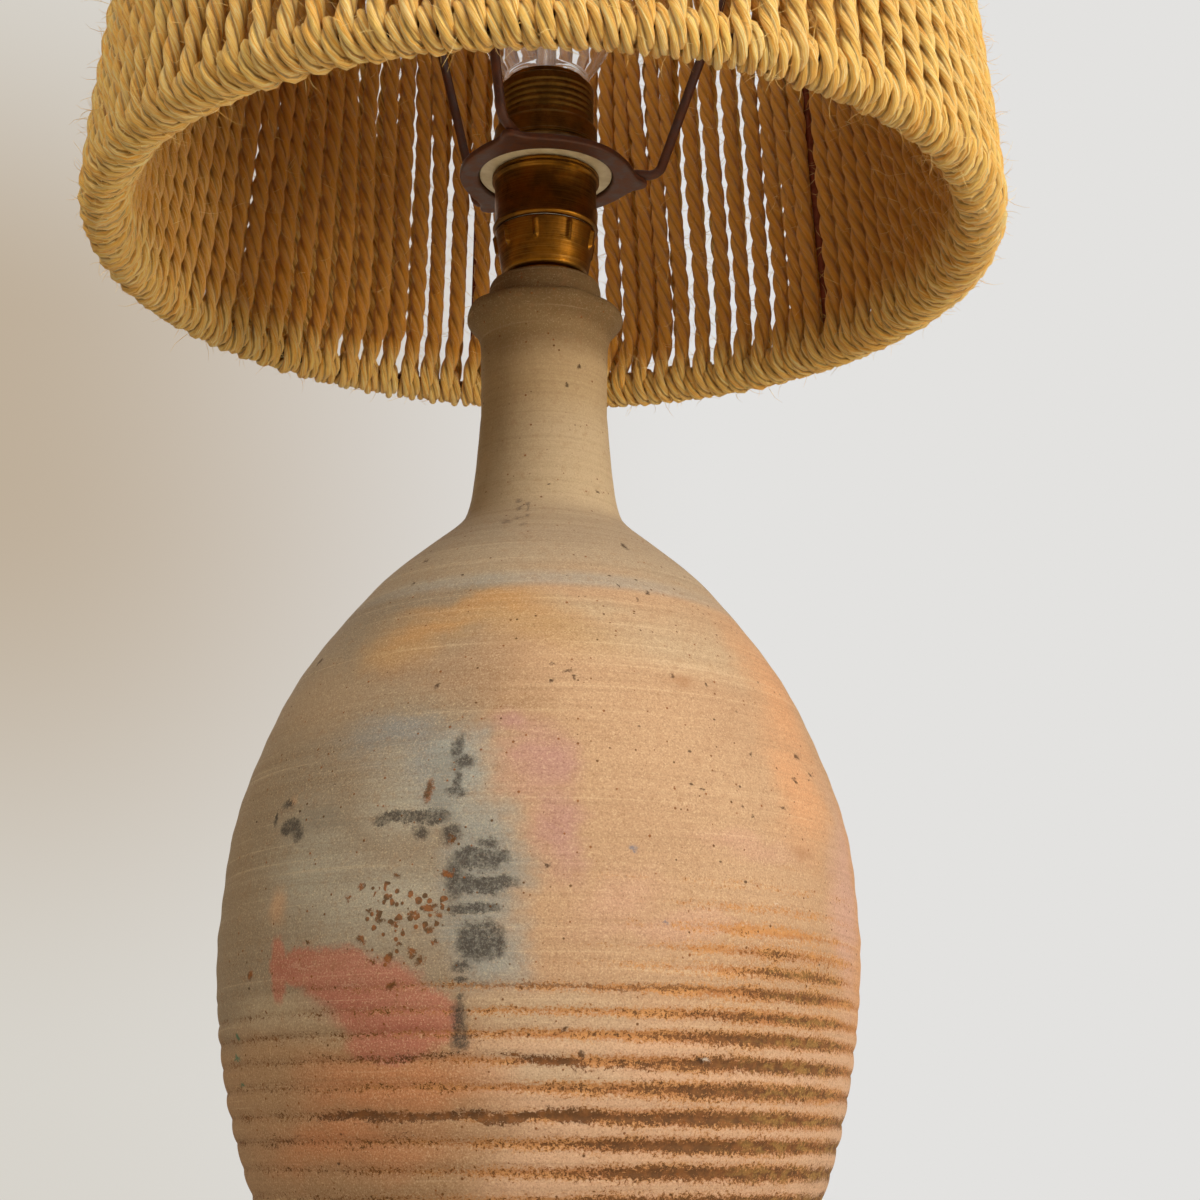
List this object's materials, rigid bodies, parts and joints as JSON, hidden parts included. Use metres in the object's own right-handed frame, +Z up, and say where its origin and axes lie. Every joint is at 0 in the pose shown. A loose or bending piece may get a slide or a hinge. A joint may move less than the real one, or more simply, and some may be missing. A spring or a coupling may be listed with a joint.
{
  "type": "table lamp",
  "caption": "Table lamp with a hollow stoneware bottle base, a brass bayonet lampholder in its neck, a clear bulb and a tapered wire shade frame wound with rope.",
  "frame": {"origin": "centre of the bottle's flat foot, on the table", "axes": "+Z up along the lamp's axis; -Y is the side seen in the picture, +X to its right; the cord bush is at the back, +Y"},
  "size_m": [0.2798, 0.2798, 0.5704],
  "materials": {
    "stoneware": "unglazed wood-fired stoneware, dry and slightly sandy",
    "brass": "aged, brushed by wear",
    "dark_steel": "dark brown lacquered wire",
    "zinc_steel": "zinc plated",
    "rubber": "matte",
    "porcelain": "glazed",
    "cream_plastic": "aged satin",
    "sisal_rope": "three-strand sisal, hairy",
    "clear_glass": "clear",
    "black_glass": "black glass insulator",
    "tungsten": "drawn wire"
  },
  "bodies": {
    "base": {"stoneware_bottle": "stoneware", "cord_bush": "rubber", "neck_bung": "rubber", "clamp_washer": "zinc_steel", "nipple_nut": "brass", "threaded_nipple": "brass", "seat_washer": "brass", "lampholder_cap": "brass", "cap_grub_screw": "brass", "lampholder_shell": "brass", "terminal_block": "porcelain", "terminal_left": "brass", "terminal_right": "brass", "terminal_screw_left": "brass", "terminal_screw_right": "brass", "spring_left": "zinc_steel", "spring_right": "zinc_steel"},
    "shade": {"reducer_ring": "cream_plastic", "carrier_ring": "dark_steel", "shade_arm_1": "dark_steel", "shade_arm_2": "dark_steel", "shade_arm_3": "dark_steel", "top_ring": "dark_steel", "bottom_ring": "dark_steel", "shade_strut_1": "dark_steel", "shade_strut_2": "dark_steel", "shade_strut_3": "dark_steel", "shade_strut_4": "dark_steel", "shade_strut_5": "dark_steel", "shade_strut_6": "dark_steel", "rope_winding_01": "sisal_rope", "rope_winding_02": "sisal_rope", "rope_winding_03": "sisal_rope", "rope_winding_04": "sisal_rope", "rope_winding_05": "sisal_rope", "rope_winding_06": "sisal_rope", "rope_winding_07": "sisal_rope", "rope_winding_08": "sisal_rope", "rope_winding_09": "sisal_rope", "rope_winding_10": "sisal_rope", "rope_winding_11": "sisal_rope", "rope_winding_12": "sisal_rope"},
    "bulb": {"bulb_cap": "brass", "bulb_insulator": "black_glass", "bulb_contact_left": "zinc_steel", "bulb_contact_right": "zinc_steel", "glass_envelope": "clear_glass", "glass_stem": "clear_glass", "filament_lead_left": "tungsten", "filament_lead_right": "tungsten", "filament": "tungsten"},
    "plunger_left": {"plunger_left": "brass"},
    "plunger_right": {"plunger_right": "brass"},
    "ring_collar": {"shade_ring_cup": "brass"},
    "shade_ring": {"shade_ring": "brass"}
  },
  "joints": [
    {"name": "shade_turn", "type": "hinge", "parent": "base", "child": "shade", "pos_m": [0, 0, 0.345], "axis": [0, 0, 1], "continuous": true},
    {"name": "bulb_push", "type": "slide", "parent": "base", "child": "bulb", "axis": [0, 0, 1], "range_m": [-0.002, 0], "stiffness_N_per_m": 1500, "springref_m": 0.004},
    {"name": "plunger_left_press", "type": "slide", "parent": "base", "child": "plunger_left", "axis": [0, 0, 1], "range_m": [-0.002, 0], "deforming": ["spring_left"]},
    {"name": "plunger_right_press", "type": "slide", "parent": "base", "child": "plunger_right", "axis": [0, 0, 1], "range_m": [-0.002, 0], "deforming": ["spring_right"]},
    {"name": "collar_rise", "type": "slide", "parent": "base", "child": "ring_collar", "axis": [0, 0, 1], "range_m": [0, 0.0105]},
    {"name": "shade_ring_turn", "type": "hinge", "parent": "ring_collar", "child": "shade_ring", "pos_m": [0, 0, 0.356], "axis": [0, 0, 1], "range_deg": [0, 1801]}
  ],
  "couplings": [
    {"joint": "plunger_left_press", "follows": "bulb_push", "ratio": 1},
    {"joint": "plunger_right_press", "follows": "bulb_push", "ratio": 1},
    {"joint": "shade_ring_turn", "follows": "collar_rise", "rad_per_m": 2992}
  ]
}
